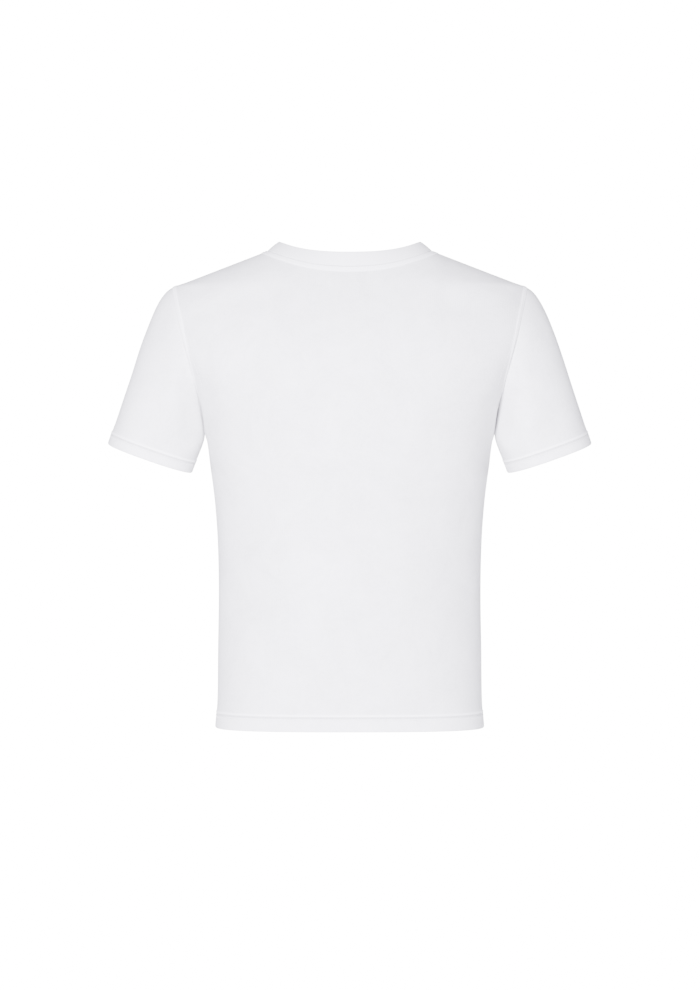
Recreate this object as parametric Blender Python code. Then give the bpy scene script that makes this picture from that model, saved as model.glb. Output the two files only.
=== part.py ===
"""A women's crew-neck T-shirt in cotton jersey, filled out as it is when worn, with nobody in it.

Every piece of cloth is a thin wall. The front panel, the back panel, two short sleeves and a rib
neckband meet at their seams with a small gap. +Z is up, +X is the left side of the wearer and
the chest faces -Y. The origin lies between the two neck points of the shoulder seams, where the
shirt rests on the shoulders.
"""

import math
from collections import namedtuple

import bmesh
import bpy
from mathutils import Vector

# Lengths are in metres and angles in degrees. Heights are measured from the neck points.
JERSEY = 0.0015  # wall of the panels and sleeves
RIB = 0.0022  # wall of the folded neckband
SEAM_GAP = 0.0003  # between one piece and the next

BODY_LENGTH = 0.5220  # neck point to hem
NECK_HALF_WIDTH = 0.0905  # centre to neck point
SHOULDER_HALF_WIDTH = 0.195  # centre to shoulder point
SHOULDER_DROP = 0.0405
UNDERARM_DROP = 0.200
UNDERARM_HALF_WIDTH = 0.159
BACK_NECK_DROP = 0.0205
FRONT_NECK_DROP = 0.086
NECKBAND_HEIGHT = 0.0167

CUFF_CENTRE = Vector((0.2196, -0.004, -0.2275))
CUFF_HALF_WIDTH = 0.0488  # across, as seen from behind
CUFF_HALF_DEPTH = 0.0510
CUFF_FULLNESS = 2.7  # of its outer half, which is a slightly boxy oval
CUFF_SLOPE = 19.6  # the cuff rises outwards
SLEEVE_SWING = 3.8  # the sleeve leans forward as it falls

# The filled-out body, from the hem up: horizontal sections, whose corners get fuller with fullness.
Section = namedtuple("Section", "height half_width back_depth front_depth back_fullness front_fullness")
SECTIONS = (
    Section(-BODY_LENGTH, 0.1473, 0.0945, 0.1035, 2.80, 2.80),
    Section(-0.4930, 0.1452, 0.0930, 0.1035, 2.50, 2.70),
    Section(-0.4380, 0.1446, 0.0920, 0.1045, 2.15, 2.60),
    Section(-0.3720, 0.1438, 0.0920, 0.1080, 2.10, 2.50),
    Section(-0.3170, 0.1450, 0.0940, 0.1125, 2.10, 2.50),
    Section(-0.2735, 0.1482, 0.0970, 0.1165, 2.20, 2.50),
    Section(-0.2400, 0.1525, 0.1000, 0.1185, 2.40, 2.50),
    Section(-UNDERARM_DROP, UNDERARM_HALF_WIDTH, 0.1020, 0.1185, 2.50, 2.50),
    Section(-0.1750, 0.1740, 0.1020, 0.1165, 2.45, 2.45),
    Section(-0.1450, 0.1930, 0.1005, 0.1110, 2.40, 2.40),
    Section(-0.1150, 0.2075, 0.0965, 0.1025, 2.30, 2.30),
    Section(-0.0850, 0.2130, 0.0885, 0.0910, 2.15, 2.15),
    Section(-0.0620, 0.2090, 0.0790, 0.0785, 2.00, 2.00),
    Section(-SHOULDER_DROP, SHOULDER_HALF_WIDTH, 0.0680, 0.0650, 1.90, 1.90),
    Section(-0.0340, 0.1782, 0.0645, 0.0610, 1.90, 1.90),
    Section(-0.0200, 0.1421, 0.0560, 0.0510, 1.85, 1.85),
    Section(0.0000, NECK_HALF_WIDTH, 0.0440, 0.0360, 1.80, 1.80),
)

# The armhole seam, from the underarm up. There the cloth is drawn in by a share of its depth, drawn_in.
# Part of that is a wide hollow and the rest a narrow fold. On the sleeve the hollow fades out over reach.
Armhole = namedtuple("Armhole", "height half_width drawn_in body_hollow sleeve_hollow reach")
ARMHOLE = (
    Armhole(-UNDERARM_DROP, UNDERARM_HALF_WIDTH, 0.82, 0.36, 0.58, 0.042),
    Armhole(-0.1850, 0.1605, 0.86, 0.40, 0.64, 0.042),
    Armhole(-0.1650, 0.1638, 0.62, 0.34, 0.52, 0.038),
    Armhole(-0.1460, 0.1685, 0.22, 0.22, 0.22, 0.030),
    Armhole(-0.1200, 0.1756, 0.08, 0.08, 0.08, 0.020),
    Armhole(-0.0980, 0.1817, 0.02, 0.02, 0.02, 0.016),
    Armhole(-0.0760, 0.1870, 0.00, 0.00, 0.00, 0.016),
    Armhole(-0.0540, 0.1921, 0.00, 0.00, 0.00, 0.016),
    Armhole(-SHOULDER_DROP, SHOULDER_HALF_WIDTH, 0.00, 0.00, 0.00, 0.016),
)
BODY_FOLD_REACH = 0.004  # how far from the seam the body feels the fold
SLEEVE_FOLD_REACH = 0.02  # the same on the sleeve, as a share of its length
BODY_HOLLOW_REACH = 0.007  # how far from the seam the body feels the hollow
HOLLOW_FADE = 0.020  # how far the hollow reaches below the underarm
FRONT_SCOOP = 0.006  # the armhole is cut further in at the front

# The sleeve's lines from armhole to cuff, by the angle round the armhole from the shoulder point.
# Each leaves its seam at drop below level, with a share of spread away from the middle of the
# sleeve, and curves with these handles, as shares of its length.
SleeveLine = namedtuple("SleeveLine", "angle drop spread start_handle end_handle")
SLEEVE_LINES = (
    SleeveLine(0.0, 26.0, 0.0, 0.135, 0.61),
    SleeveLine(60.0, 50.0, 0.1, 0.20, 0.50),
    SleeveLine(100.0, 88.0, 0.1, 0.30, 0.40),
    SleeveLine(135.0, 101.0, 0.2, 0.30, 0.35),
    SleeveLine(165.0, 98.0, 0.2, 0.25, 0.40),
    SleeveLine(180.0, 80.0, 0.0, 0.25, 0.40),
)

# The neckband leans in by these angles from upright.
BAND_LEAN_SIDE, BAND_LEAN_BACK, BAND_LEAN_FRONT = 51.0, 14.0, 30.0

# Mesh steps.
NECK_STEPS = 8  # centre to neck point
SHOULDER_STEPS = 7  # neck point to shoulder point
ARMHOLE_STEPS = 12  # underarm to shoulder point
BODY_STEPS = 10  # hem to underarm
SLEEVE_STEPS = 8
BAND_STEPS = 3
HALF_STEPS = NECK_STEPS + SHOULDER_STEPS

WHITE_JERSEY = (0.86, 0.86, 0.88, 1.0)
WHITE_RIB = (0.87, 0.87, 0.89, 1.0)


def between(rows, at):
    """The row of a table at any value of its first column, on a smooth curve through its rows."""
    last = len(rows) - 1
    i = min(max(sum(row[0] <= at for row in rows) - 1, 0), last - 1)
    low, high = rows[i], rows[i + 1]
    span = high[0] - low[0]
    t = min(max((at - low[0]) / span, 0.0), 1.0)
    before, after = rows[max(i - 1, 0)], rows[min(i + 2, last)]
    values = []
    for column in range(len(low)):
        start = (high[column] - before[column]) / (high[0] - before[0]) * span
        end = (after[column] - low[column]) / (after[0] - low[0]) * span
        values.append(
            (2 * t**3 - 3 * t**2 + 1) * low[column]
            + (t**3 - 2 * t**2 + t) * start
            + (3 * t**2 - 2 * t**3) * high[column]
            + (t**3 - t**2) * end
        )
    return type(low)(*values)


def body_point(x, z, side):
    """The point of the body's outer face at x and z. side is 1 at the back and -1 at the front."""
    section = between(SECTIONS, z)
    depth = section.back_depth if side > 0 else section.front_depth
    n = section.back_fullness if side > 0 else section.front_fullness
    share = min(abs(x) / section.half_width, 1.0)
    y = depth * (1.0 - share**n) ** (1.0 / n)
    return Vector((x, side * y, z))


def body_normal(point, side):
    """Outward from the body at a point of its outer face, from how the section's equation changes."""

    def level(x, y, z):
        section = between(SECTIONS, z)
        depth = section.back_depth if side > 0 else section.front_depth
        n = section.back_fullness if side > 0 else section.front_fullness
        return (abs(x) / section.half_width) ** n + (abs(y) / depth) ** n

    step = 1e-5
    x, y, z = point
    slope_x = level(x + step, y, z) - level(x - step, y, z)
    slope_y = level(x, y + step, z) - level(x, y - step, z)
    slope_z = level(x, y, z + step) - level(x, y, z - step)
    return Vector((slope_x, slope_y, slope_z)).normalized()


def armhole_x(z, side):
    """How far out the armhole seam lies at a height. It is cut in a little at the front."""
    x = between(ARMHOLE, z).half_width
    if side > 0:
        return x
    share = (z + SHOULDER_DROP) / (SHOULDER_DROP - UNDERARM_DROP)
    return x - FRONT_SCOOP * math.sin(math.pi * min(max(share, 0.0), 1.0)) ** 2


def from_armhole(point, side):
    """How far a point is from the armhole seam, at the point's own height."""
    return abs(point.x - armhole_x(max(point.z, -UNDERARM_DROP), side))


def folded_body(point, side, reach):
    """The point of a panel drawn towards the middle of the sleeve. reach is 0 on the seam and grows from it."""
    row = between(ARMHOLE, point.z)
    depth = (row.drawn_in - row.body_hollow) * math.exp(-(reach**2))
    depth += row.body_hollow * math.exp(-from_armhole(point, side) / BODY_HOLLOW_REACH)
    return Vector((point.x, point.y * (1.0 - depth), point.z))


def folded_sleeve(point, z, side, reach):
    """The same on the sleeve, whose seam is at height z here. Its hollow falls away to the seam more slowly."""
    seam, row = between(ARMHOLE, z), between(ARMHOLE, point.z)
    below = max(-UNDERARM_DROP - point.z, 0.0) / HOLLOW_FADE
    left = max(1.0 - from_armhole(point, side) / row.reach, 0.0)
    depth = (seam.drawn_in - seam.sleeve_hollow) * math.exp(-(reach**2))
    depth += row.sleeve_hollow * left**2 * math.exp(-(below**2))
    return Vector((point.x, point.y * (1.0 - depth), point.z))


def armhole_height(share):
    """The height at a share of the way from the underarm to the shoulder point, dense at both ends."""
    rise = (1.0 - math.cos(math.pi * share)) / 2
    return -UNDERARM_DROP + rise * (UNDERARM_DROP - SHOULDER_DROP)


def top_edge(side):
    """x and z along half of a panel's top: the neckline from the centre, then the shoulder seam."""
    drop = BACK_NECK_DROP if side > 0 else FRONT_NECK_DROP
    edge = []
    for k in range(NECK_STEPS + 1):
        angle = math.pi / 2 * k / NECK_STEPS
        share = math.sin(angle)
        fall = 1.0 - share**2.2 if side > 0 else math.cos(angle) ** 1.3
        edge.append((NECK_HALF_WIDTH * share, -drop * fall))
    start = math.asin(NECK_HALF_WIDTH / SHOULDER_HALF_WIDTH)
    for k in range(1, SHOULDER_STEPS + 1):
        x = SHOULDER_HALF_WIDTH * math.sin(start + (math.pi / 2 - start) * k / SHOULDER_STEPS)
        z = -SHOULDER_DROP * (x - NECK_HALF_WIDTH) / (SHOULDER_HALF_WIDTH - NECK_HALF_WIDTH)
        edge.append((between(SECTIONS, z).half_width, z))
    return edge


def half_rows(side):
    """Rows of x and z over the half of a panel at +X, from the hem up, each from the centre out."""
    rows = []
    for j in range(BODY_STEPS):
        z = -BODY_LENGTH + (BODY_LENGTH - UNDERARM_DROP) * j / BODY_STEPS
        width = between(SECTIONS, z).half_width
        rows.append([(width * math.sin(math.pi / 2 * k / HALF_STEPS), z) for k in range(HALF_STEPS + 1)])
    top = top_edge(side)
    for j in range(ARMHOLE_STEPS + 1):
        share = j / ARMHOLE_STEPS
        edge_z = armhole_height(share)
        edge_x = armhole_x(edge_z, side)
        row = []
        for k, (top_x, top_z) in enumerate(top):
            even = math.sin(math.pi / 2 * k / HALF_STEPS)
            rise_centre = math.sin(math.pi / 2 * share)
            out = even + (top_x / SHOULDER_HALF_WIDTH - even) * rise_centre
            rise_edge = (edge_z + UNDERARM_DROP) / (UNDERARM_DROP - SHOULDER_DROP)
            rise = rise_centre + (rise_edge - rise_centre) * out**4
            row.append((edge_x * out, -UNDERARM_DROP + rise * (top_z + UNDERARM_DROP)))
        rows.append(row)
    return rows


def panel_faces(side):
    """Rows of outer and of inner points of a whole panel, half a seam gap clear of the other panel."""
    clear = Vector((0.0, side * SEAM_GAP / 2, 0.0))
    outer, inner = [], []
    for row in half_rows(side):
        outs, ins = [], []
        for x, z in row:
            point = body_point(x, z, side)
            normal = body_normal(point, side)
            if z > -UNDERARM_DROP:
                reach = (armhole_x(z, side) - x) / BODY_FOLD_REACH
                point = folded_body(point, side, reach)
            outs.append(point + clear)
            ins.append(outs[-1] - normal * JERSEY)
        outer.append(mirrored(outs[:0:-1]) + outs)
        inner.append(mirrored(ins[:0:-1]) + ins)
    return outer, inner


def mirrored(points):
    """The points on the other side of the middle plane."""
    return [Vector((-p.x, p.y, p.z)) for p in points]


def armhole_ring():
    """Points of the armhole at +X and the body's normals there, from the shoulder point round the back."""
    ring = []
    shares = [1.0 - j / ARMHOLE_STEPS for j in range(ARMHOLE_STEPS + 1)]
    for side, order in ((1, shares), (-1, shares[-2:0:-1])):
        for share in order:
            z = armhole_height(share)
            point = body_point(armhole_x(z, side), z, side)
            clear = 0.0 if share in (0.0, 1.0) else side * SEAM_GAP / 2
            ring.append((point + Vector((0.0, clear, 0.0)), body_normal(point, side)))
    return ring


def blend(a, b, share):
    """A value between two others."""
    return a + (b - a) * share


def sleeve_share(j):
    """How far along the sleeve its row j lies. The rows are dense at the armhole."""
    return (j / SLEEVE_STEPS) ** 1.8


def sleeve_faces():
    """Rows of outer and of inner points of the sleeve at +X, from the armhole to the cuff."""
    ring = armhole_ring()
    count = len(ring)
    slope, swing = math.radians(CUFF_SLOPE), math.radians(SLEEVE_SWING)
    across = Vector((math.cos(slope), 0.0, math.sin(slope)))
    back = Vector((0.0, math.cos(swing), -math.sin(swing)))
    down = back.cross(across).normalized()
    columns = []
    for i, (start, _) in enumerate(ring):
        angle = 2 * math.pi * i / count
        end = CUFF_CENTRE + across * CUFF_HALF_WIDTH * squared_off(math.cos(angle), angle)
        end += back * CUFF_HALF_DEPTH * squared_off(math.sin(angle), angle)
        line = between(SLEEVE_LINES, 180.0 - abs(math.degrees(angle) - 180.0))
        drop = math.radians(line.drop)
        leave = Vector((math.cos(drop), line.spread * math.sin(angle), -math.sin(drop))).normalized()
        length = (end - start).length
        first = start + leave * line.start_handle * length
        handles = (start, first, end - down * line.end_handle * length, end)
        columns.append([bezier(handles, sleeve_share(j)) for j in range(SLEEVE_STEPS + 1)])
    outer = []
    for j in range(SLEEVE_STEPS + 1):
        reach = sleeve_share(j) / SLEEVE_FOLD_REACH
        row = []
        for i, column in enumerate(columns):
            side = 1 if 2 * i <= count else -1
            row.append(folded_sleeve(column[j], ring[i][0].z, side, reach))
        outer.append(row)
    inner = []
    for j, row in enumerate(outer):
        ins = []
        for i, point in enumerate(row):
            normal = grid_normal(outer, j, i)
            if j == 0:
                shared = max(0.0, math.cos(2 * math.pi * i / count))
                normal = (normal * (1.0 - shared) + ring[i][1] * shared).normalized()
            ins.append(point - normal * JERSEY)
        inner.append(ins)
    for i in range(count):
        away = (outer[1][i] - outer[0][i]).normalized() * SEAM_GAP
        outer[0][i] = outer[0][i] + away
        inner[0][i] = inner[0][i] + away
    return outer, inner


def squared_off(share, angle):
    """A sine or cosine made fuller on the outer half of the cuff, which gives it a slightly boxy oval."""
    return math.copysign(abs(share) ** (2.0 / CUFF_FULLNESS), share) if math.cos(angle) > 0 else share


def bezier(handles, t):
    """A point of the cubic curve with these four handles."""
    a, b, c, d = handles
    s = 1.0 - t
    return a * s**3 + b * 3 * s * s * t + c * 3 * s * t * t + d * t**3


def grid_normal(rows, j, i):
    """The normal of a closed tube of rows at one of its points, outwards where rows run round the back."""
    count = len(rows[0])
    round_it = rows[j][(i + 1) % count] - rows[j][i - 1]
    along = rows[min(j + 1, len(rows) - 1)][i] - rows[max(j - 1, 0)][i]
    return along.cross(round_it).normalized()


def neckline_ring():
    """Points of the neckline and the body's normals there, from the +X neck point round the back."""
    ring = []
    for side in (1, -1):
        edge = top_edge(side)[NECK_STEPS::-1]
        points = [(x, z) for x, z in edge] + [(-x, z) for x, z in edge[-2::-1]]
        points = points if side > 0 else points[::-1][1:-1]
        for x, z in points:
            point = body_point(x, z, side)
            normal = body_normal(point, side)
            clear = 0.0 if abs(x) == NECK_HALF_WIDTH else side * SEAM_GAP / 2
            ring.append((point + Vector((0.0, clear, 0.0)), normal))
    return ring


def neckband_faces():
    """Rows of outer and of inner points of the neckband, from its seam to its fold."""
    ring = neckline_ring()
    count = len(ring)
    columns = []
    for i, (start, _) in enumerate(ring):
        angle = 2 * math.pi * i / count
        end_lean = BAND_LEAN_BACK if math.sin(angle) > 0 else BAND_LEAN_FRONT
        lean = math.radians(blend(BAND_LEAN_SIDE, end_lean, math.sin(angle) ** 4))
        inwards = Vector((-start.x, -start.y, 0.0)).normalized()
        rise = inwards * math.sin(lean) + Vector((0.0, 0.0, math.cos(lean)))
        heights = [SEAM_GAP + NECKBAND_HEIGHT * j / BAND_STEPS for j in range(BAND_STEPS + 1)]
        columns.append([start + rise * height for height in heights])
    outer = [[column[j] for column in columns] for j in range(BAND_STEPS + 1)]
    inner = []
    for j, row in enumerate(outer):
        ins = []
        for i, point in enumerate(row):
            normal = ring[i][1] if j == 0 else -grid_normal(outer, j, i)
            ins.append(point - normal * RIB)
        inner.append(ins)
    return outer, inner


def wall(name, faces, closed_round, colour, collection):
    """One piece of cloth: its outer and inner faces, joined by a rim along every open edge."""
    bm = bmesh.new()
    outer, inner = ([[bm.verts.new(p) for p in row] for row in rows] for rows in faces)
    rows, columns = len(outer), len(outer[0])
    for j in range(rows - 1):
        for i in range(columns if closed_round else columns - 1):
            k = (i + 1) % columns
            bm.faces.new((outer[j][i], outer[j][k], outer[j + 1][k], outer[j + 1][i]))
            bm.faces.new((inner[j][i], inner[j + 1][i], inner[j + 1][k], inner[j][k]))
    for j in (0, rows - 1):
        for i in range(columns if closed_round else columns - 1):
            k = (i + 1) % columns
            bm.faces.new((outer[j][i], outer[j][k], inner[j][k], inner[j][i]))
    for i in () if closed_round else (0, columns - 1):
        for j in range(rows - 1):
            bm.faces.new((outer[j][i], outer[j + 1][i], inner[j + 1][i], inner[j][i]))
    bmesh.ops.recalc_face_normals(bm, faces=bm.faces)
    mesh = bpy.data.meshes.new(name)
    bm.to_mesh(mesh)
    bm.free()
    mesh.shade_smooth()
    mesh.set_sharp_from_angle(angle=math.radians(40))
    cloth = bpy.data.objects.new(name, mesh)
    mesh.materials.append(knit(name + "_cloth", colour))
    collection.objects.link(cloth)
    return cloth


def knit(name, colour):
    """Matt white cotton knit."""
    material = bpy.data.materials.new(name)
    material.use_nodes = True
    surface = material.node_tree.nodes["Principled BSDF"]
    surface.inputs["Base Color"].default_value = colour
    surface.inputs["Roughness"].default_value = 0.9
    surface.inputs["Metallic"].default_value = 0.0
    material.diffuse_color = colour
    return material


def main():
    for old in list(bpy.data.objects):
        bpy.data.objects.remove(old, do_unlink=True)
    shirt = bpy.data.collections.new("t_shirt")
    bpy.context.scene.collection.children.link(shirt)
    wall("back_panel", panel_faces(1), False, WHITE_JERSEY, shirt)
    wall("front_panel", panel_faces(-1), False, WHITE_JERSEY, shirt)
    left = sleeve_faces()
    wall("sleeve_left", left, True, WHITE_JERSEY, shirt)
    wall("sleeve_right", [[mirrored(row) for row in rows] for rows in left], True, WHITE_JERSEY, shirt)
    wall("neckband", neckband_faces(), True, WHITE_RIB, shirt)


main()
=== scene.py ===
"""The looks of a women's crew-neck T-shirt in white cotton jersey, filled out as it is when worn.

Each piece of cloth is one thin sheet on the form of its solid: the back and front panels, two
sleeves and a folded rib neckband. A sheet starts as a flat grid. Its rows are laid on the form and
turned up inside at a hem, and its face is then raised and sunk along seams, needle rows and creases.
Lengths are in metres, +Z is up, +X is the left side of the wearer and the chest faces -Y.
"""

import math
from collections import namedtuple

import bmesh
import bpy
from mathutils import Matrix, Vector, noise
from mathutils.bvhtree import BVHTree
from mathutils.kdtree import KDTree


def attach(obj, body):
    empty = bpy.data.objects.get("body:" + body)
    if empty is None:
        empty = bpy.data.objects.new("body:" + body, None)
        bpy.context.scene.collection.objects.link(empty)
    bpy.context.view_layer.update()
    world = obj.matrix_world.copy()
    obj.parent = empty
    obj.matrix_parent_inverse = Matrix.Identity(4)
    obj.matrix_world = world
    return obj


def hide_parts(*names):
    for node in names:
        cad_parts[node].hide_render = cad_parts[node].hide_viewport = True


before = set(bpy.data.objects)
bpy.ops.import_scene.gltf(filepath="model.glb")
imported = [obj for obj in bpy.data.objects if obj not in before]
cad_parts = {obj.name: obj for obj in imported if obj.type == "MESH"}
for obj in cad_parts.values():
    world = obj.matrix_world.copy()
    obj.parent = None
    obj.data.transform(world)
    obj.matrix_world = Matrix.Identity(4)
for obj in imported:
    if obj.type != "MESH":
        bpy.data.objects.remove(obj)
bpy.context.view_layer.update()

BACK, FRONT = 1, -1  # the sides of the shirt, by the sign of y
LEFT, RIGHT = 1.0, -1.0  # the wearer's, by the sign of x

# The form, as the solids have it but for a narrower armpit fold. Heights are measured from the neck
# points, and angles are in degrees.
BODY_LENGTH = 0.5220  # neck point to hem
NECK_HALF_WIDTH = 0.0905  # centre to neck point
SHOULDER_HALF_WIDTH = 0.195  # centre to shoulder point
SHOULDER_DROP = 0.0405
UNDERARM_DROP = 0.200
UNDERARM_HALF_WIDTH = 0.159
BACK_NECK_DROP = 0.0205
FRONT_NECK_DROP = 0.086
NECKBAND_HEIGHT = 0.0167
CUFF_CENTRE = Vector((0.2196, -0.004, -0.2275))
CUFF_HALF_WIDTH = 0.0488  # across, as seen from behind
CUFF_HALF_DEPTH = 0.0510
CUFF_FULLNESS = 2.7  # of its outer half, which is a slightly boxy oval
CUFF_SLOPE = 19.6  # the cuff rises outwards
SLEEVE_SWING = 3.8  # the sleeve leans forward as it falls
NECK_SHARE = 8 / 15  # share of a panel's top edge that is neckline
FOLD_REACH = 0.0010  # how far from the armhole seam the armpit fold is felt
FOLD_FADE = 0.006  # how far the fold reaches below the underarm
BODY_HOLLOW_REACH = 0.007  # how far from the seam a panel feels the hollow round the fold
HOLLOW_FADE = 0.020  # how far the hollow reaches below the underarm
FRONT_SCOOP = 0.006  # the armhole is cut further in at the front
BAND_LEAN_SIDE, BAND_LEAN_BACK, BAND_LEAN_FRONT = 51.0, 14.0, 30.0  # inwards from upright
SEAM_GAP = 0.00001  # between one piece and the next

# The filled-out body, from the hem up: horizontal sections, whose corners get fuller with fullness.
Section = namedtuple("Section", "height half_width back_depth front_depth back_fullness front_fullness")
SECTIONS = (
    Section(-BODY_LENGTH, 0.1473, 0.0945, 0.1035, 2.80, 2.80),
    Section(-0.4930, 0.1452, 0.0930, 0.1035, 2.50, 2.70),
    Section(-0.4380, 0.1446, 0.0920, 0.1045, 2.15, 2.60),
    Section(-0.3720, 0.1438, 0.0920, 0.1080, 2.10, 2.50),
    Section(-0.3170, 0.1450, 0.0940, 0.1125, 2.10, 2.50),
    Section(-0.2735, 0.1482, 0.0970, 0.1165, 2.20, 2.50),
    Section(-0.2400, 0.1525, 0.1000, 0.1185, 2.40, 2.50),
    Section(-UNDERARM_DROP, UNDERARM_HALF_WIDTH, 0.1020, 0.1185, 2.50, 2.50),
    Section(-0.1750, 0.1740, 0.1020, 0.1165, 2.45, 2.45),
    Section(-0.1450, 0.1930, 0.1005, 0.1110, 2.40, 2.40),
    Section(-0.1150, 0.2075, 0.0965, 0.1025, 2.30, 2.30),
    Section(-0.0850, 0.2130, 0.0885, 0.0910, 2.15, 2.15),
    Section(-0.0620, 0.2090, 0.0790, 0.0785, 2.00, 2.00),
    Section(-SHOULDER_DROP, SHOULDER_HALF_WIDTH, 0.0680, 0.0650, 1.90, 1.90),
    Section(-0.0340, 0.1782, 0.0645, 0.0610, 1.90, 1.90),
    Section(-0.0200, 0.1421, 0.0560, 0.0510, 1.85, 1.85),
    Section(0.0000, NECK_HALF_WIDTH, 0.0440, 0.0360, 1.80, 1.80),
)

# The armhole seam, from the underarm up. There the cloth is drawn in by a share of its depth, drawn_in.
# Part of that is a wide hollow and the rest a narrow fold. On the sleeve the hollow fades out over reach.
Armhole = namedtuple("Armhole", "height half_width drawn_in body_hollow sleeve_hollow reach")
ARMHOLE = (
    Armhole(-UNDERARM_DROP, UNDERARM_HALF_WIDTH, 0.82, 0.24, 0.58, 0.042),
    Armhole(-0.1850, 0.1605, 0.86, 0.22, 0.64, 0.042),
    Armhole(-0.1650, 0.1638, 0.62, 0.22, 0.52, 0.038),
    Armhole(-0.1460, 0.1685, 0.26, 0.20, 0.26, 0.030),
    Armhole(-0.1200, 0.1756, 0.10, 0.05, 0.10, 0.020),
    Armhole(-0.0980, 0.1817, 0.04, 0.02, 0.04, 0.016),
    Armhole(-0.0760, 0.1870, 0.00, 0.00, 0.00, 0.016),
    Armhole(-0.0540, 0.1921, 0.00, 0.00, 0.00, 0.016),
    Armhole(-SHOULDER_DROP, SHOULDER_HALF_WIDTH, 0.00, 0.00, 0.00, 0.016),
)

# The sleeve's lines from armhole to cuff, by the angle round the armhole from the shoulder point.
# Each leaves its seam at drop below level, with a share of spread away from the middle of the
# sleeve, and curves with these handles, as shares of its length.
SleeveLine = namedtuple("SleeveLine", "angle drop spread start_handle end_handle")
SLEEVE_LINES = (
    SleeveLine(0.0, 26.0, 0.0, 0.135, 0.61),
    SleeveLine(60.0, 50.0, 0.1, 0.20, 0.50),
    SleeveLine(100.0, 88.0, 0.1, 0.30, 0.40),
    SleeveLine(135.0, 101.0, 0.2, 0.30, 0.35),
    SleeveLine(165.0, 98.0, 0.2, 0.25, 0.40),
    SleeveLine(180.0, 80.0, 0.0, 0.25, 0.40),
)

# The sewing.
JERSEY = 0.0007  # one layer of cloth
SEAM_LAYERS = 0.0014  # cloth and its seam allowance, on the inside along each seam
ALLOWANCE = 0.0065  # width of a seam allowance
RIB = 0.0008
FOLD_RADIUS = 0.0011  # at a turned hem
BAND_FOLD_RADIUS = 0.0010
ARMHOLE_STITCH = 0.0054  # from the seam to its row of stitches
NECK_STITCH = 0.0066
STITCH_PITCH = 0.0032
STITCH_LENGTH = 0.0023
THREAD = 0.0006  # sewing thread is 0.2 mm thick, and is drawn thicker so that it shows

# How the sewing raises and sinks the face of the cloth, and how wide that is.
RELIEF_REACH = 0.006  # past a row of stitches or a turn-up
SEAM_DIP, SEAM_ROLL = 0.00005, 0.0010
ALLOWANCE_LIFT, ALLOWANCE_EDGE = 0.0005, 0.0012  # by an allowance stitched down underneath
TOPSTITCH_DIP, ROW_WIDTH = 0.00015, 0.0006
TURN_UP_LIFT, TURN_UP_EDGE = 0.0003, 0.0016
RIDGE_LIFT, RIDGE_WIDTH = 0.0002, 0.0009  # between the needle rows of a hem
RAW_EDGE_LIFT, RAW_EDGE_WIDTH = 0.00032, 0.0014  # over the raw edge inside a hem
UPPER_ROW_DIP, UPPER_ROW_WIDTH = 0.00026, 0.0009
LOWER_ROW_DIP = 0.00018

# How white the cloth looks where it lies double, from 0 to 1, and how dark the shade painted where a row
# draws it in.
TURN_UP_WHITE = 0.25
UPPER_ROW_SHADE, LOWER_ROW_SHADE = 1.1, 0.25

Hem = namedtuple("Hem", "turn_up lower_row upper_row")
BODY_HEM = Hem(0.0174, 0.0122, 0.0151)
CUFF_HEM = Hem(0.0140, 0.0092, 0.0119)


def between(rows, at):
    """The row of a table at any value of its first column, on a smooth curve through its rows."""
    last = len(rows) - 1
    i = min(max(sum(row[0] <= at for row in rows) - 1, 0), last - 1)
    low, high = rows[i], rows[i + 1]
    span = high[0] - low[0]
    t = min(max((at - low[0]) / span, 0.0), 1.0)
    before, after = rows[max(i - 1, 0)], rows[min(i + 2, last)]
    values = []
    for column in range(len(low)):
        start = (high[column] - before[column]) / (high[0] - before[0]) * span
        end = (after[column] - low[column]) / (after[0] - low[0]) * span
        values.append(
            (2 * t**3 - 3 * t**2 + 1) * low[column]
            + (t**3 - 2 * t**2 + t) * start
            + (3 * t**2 - 2 * t**3) * high[column]
            + (t**3 - t**2) * end
        )
    return type(low)(*values)


def ease(x, low, high):
    """0 below low and 1 above high, with a smooth rise between them."""
    t = min(max((x - low) / (high - low), 0.0), 1.0)
    return t * t * (3 - 2 * t)


def bell(x, width):
    """1 at 0, falling away on both sides."""
    return math.exp(-((x / width) ** 2))


def blend(a, b, share):
    """A value between two others."""
    return a + (b - a) * share


def link(name, data):
    """Puts an object that holds this data into the scene."""
    made = bpy.data.objects.new(name, data)
    bpy.context.scene.collection.objects.link(made)
    return made


def mesh_object(name, bm, material, smooth=True):
    """Makes an object of a bmesh, which it frees."""
    mesh = bpy.data.meshes.new(name)
    bm.to_mesh(mesh)
    bm.free()
    if smooth:
        mesh.shade_smooth()
    mesh.materials.append(material)
    return link(name, mesh)


# ---- The form of the body ----


def body_point(x, z, side):
    """The point of the body's outer face at x and z. side is BACK or FRONT."""
    section = between(SECTIONS, z)
    depth = section.back_depth if side > 0 else section.front_depth
    n = section.back_fullness if side > 0 else section.front_fullness
    share = min(abs(x) / section.half_width, 1.0)
    y = depth * (1.0 - share**n) ** (1.0 / n)
    return Vector((x, side * y, z))


def body_normal(point, side):
    """Outward from the body at a point of its outer face."""

    def level(x, y, z):
        section = between(SECTIONS, z)
        depth = section.back_depth if side > 0 else section.front_depth
        n = section.back_fullness if side > 0 else section.front_fullness
        return (abs(x) / section.half_width) ** n + (abs(y) / depth) ** n

    step = 1e-5
    x, y, z = point
    slope_x = level(x + step, y, z) - level(x - step, y, z)
    slope_y = level(x, y + step, z) - level(x, y - step, z)
    slope_z = level(x, y, z + step) - level(x, y, z - step)
    return Vector((slope_x, slope_y, slope_z)).normalized()


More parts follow.
